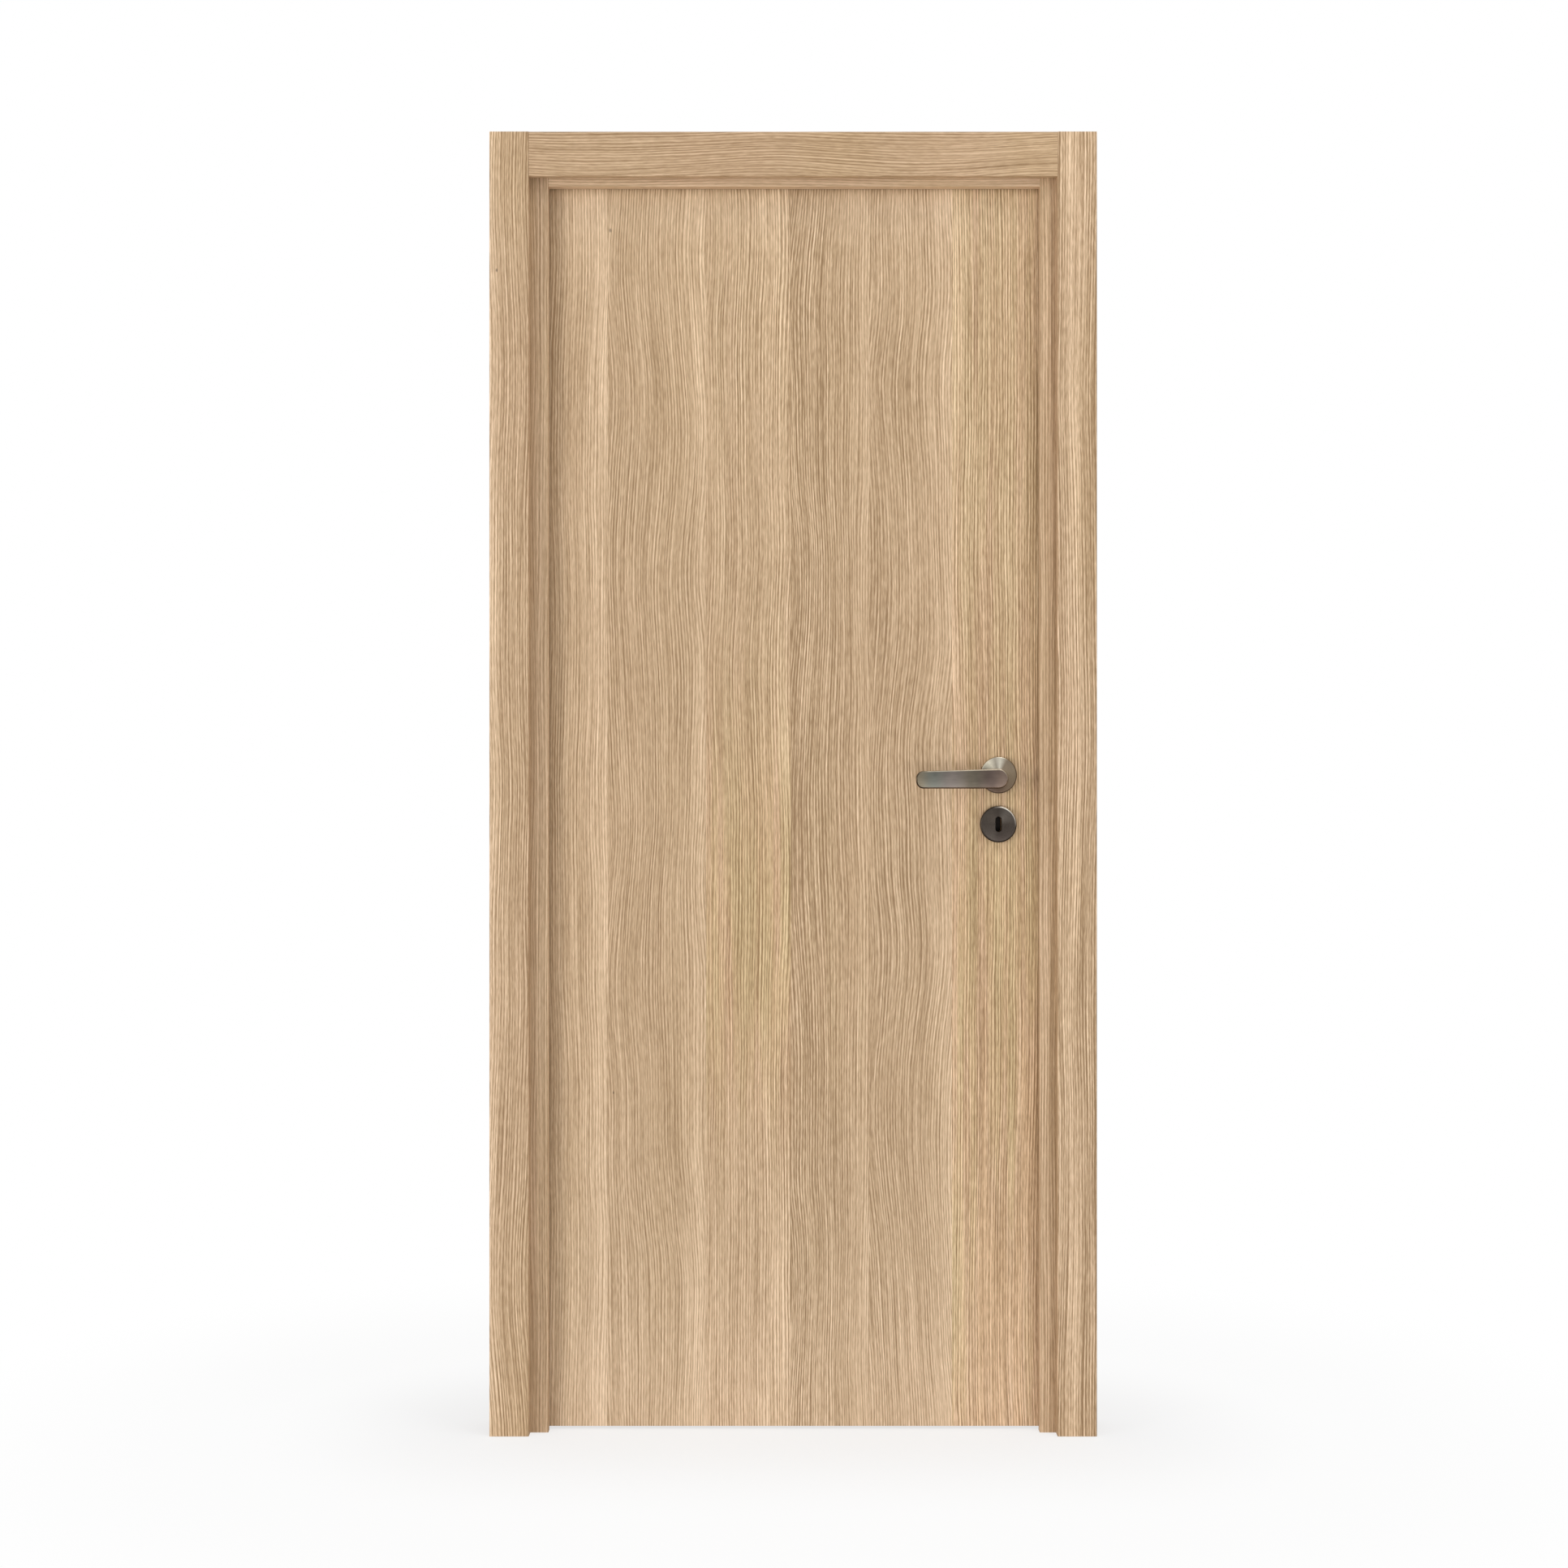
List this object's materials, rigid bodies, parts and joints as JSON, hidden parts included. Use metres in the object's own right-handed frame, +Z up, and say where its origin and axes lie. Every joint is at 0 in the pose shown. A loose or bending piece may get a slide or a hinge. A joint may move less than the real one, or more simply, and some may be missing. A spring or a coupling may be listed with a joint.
{
  "type": "prehung interior door",
  "caption": "Smooth oak-look interior door hung in its lining, with stops, seals, flat casings on both sides, butt hinges, a mortise lock and round-rose lever handles.",
  "frame": {"origin": "wall face of the hinge-side jamb, at floor level, in the middle of the jamb's depth", "axes": "+X from the hinge side to the lock side as seen from the front, +Y away from the front to the side the leaf opens to, +Z up"},
  "size_m": [0.986, 0.156, 2.117],
  "materials": {
    "oak_laminate": "matt embossed laminate",
    "raw_timber": "sawn timber and board",
    "seal": "soft brown seal",
    "hinge_metal": "satin nickel",
    "lock_steel": "brushed",
    "lever_metal": "satin nickel",
    "rose_metal": "turned, brushed round",
    "key_rose_metal": "dark satin nickel"
  },
  "bodies": {
    "frame": {"hinge_jamb": "oak_laminate", "lock_jamb": "oak_laminate", "head_jamb": "oak_laminate", "hinge_stop": "oak_laminate", "lock_stop": "oak_laminate", "head_stop": "oak_laminate", "hinge_seal": "seal", "lock_seal": "seal", "head_seal": "seal", "strike_plate": "lock_steel", "front_casing_left": "oak_laminate", "front_casing_right": "oak_laminate", "front_casing_head": "oak_laminate", "back_casing_left": "oak_laminate", "back_casing_right": "oak_laminate", "back_casing_head": "oak_laminate", "hinge_frame_plate_bottom": "hinge_metal", "hinge_frame_plate_middle": "hinge_metal", "hinge_frame_plate_top": "hinge_metal", "hinge_pin_bottom": "hinge_metal", "hinge_pin_middle": "hinge_metal", "hinge_pin_top": "hinge_metal"},
    "leaf": {"leaf_front_skin": "oak_laminate", "leaf_back_skin": "oak_laminate", "leaf_hinge_stile": "raw_timber", "leaf_lock_stile": "raw_timber", "leaf_top_rail": "raw_timber", "leaf_bottom_rail": "raw_timber", "leaf_core": "raw_timber", "leaf_lock_block": "raw_timber", "leaf_hinge_edge_band": "oak_laminate", "leaf_lock_edge_band": "oak_laminate", "lock_case": "lock_steel", "lock_faceplate": "lock_steel", "latch_bolt": "lock_steel", "dead_bolt": "lock_steel", "lever_rose_front": "rose_metal", "lever_rose_back": "rose_metal", "key_rose_front": "key_rose_metal", "key_rose_back": "key_rose_metal", "hinge_leaf_plate_bottom": "hinge_metal", "hinge_leaf_plate_middle": "hinge_metal", "hinge_leaf_plate_top": "hinge_metal"},
    "lever": {"lever_front": "lever_metal", "lever_back": "lever_metal", "lever_spindle": "lock_steel"}
  },
  "joints": [
    {"name": "leaf_hinge", "type": "hinge", "parent": "frame", "child": "leaf", "pos_m": [0.0325, 0.043, 1.025], "axis": [0, 0, 1], "range_deg": [0, 170]},
    {"name": "lever_turn", "type": "hinge", "parent": "leaf", "child": "lever", "pos_m": [0.785, 0.015, 1.073], "axis": [0, -1, 0], "range_deg": [0, 40], "stiffness_Nm_per_rad": 2, "springref_deg": -22.92}
  ]
}
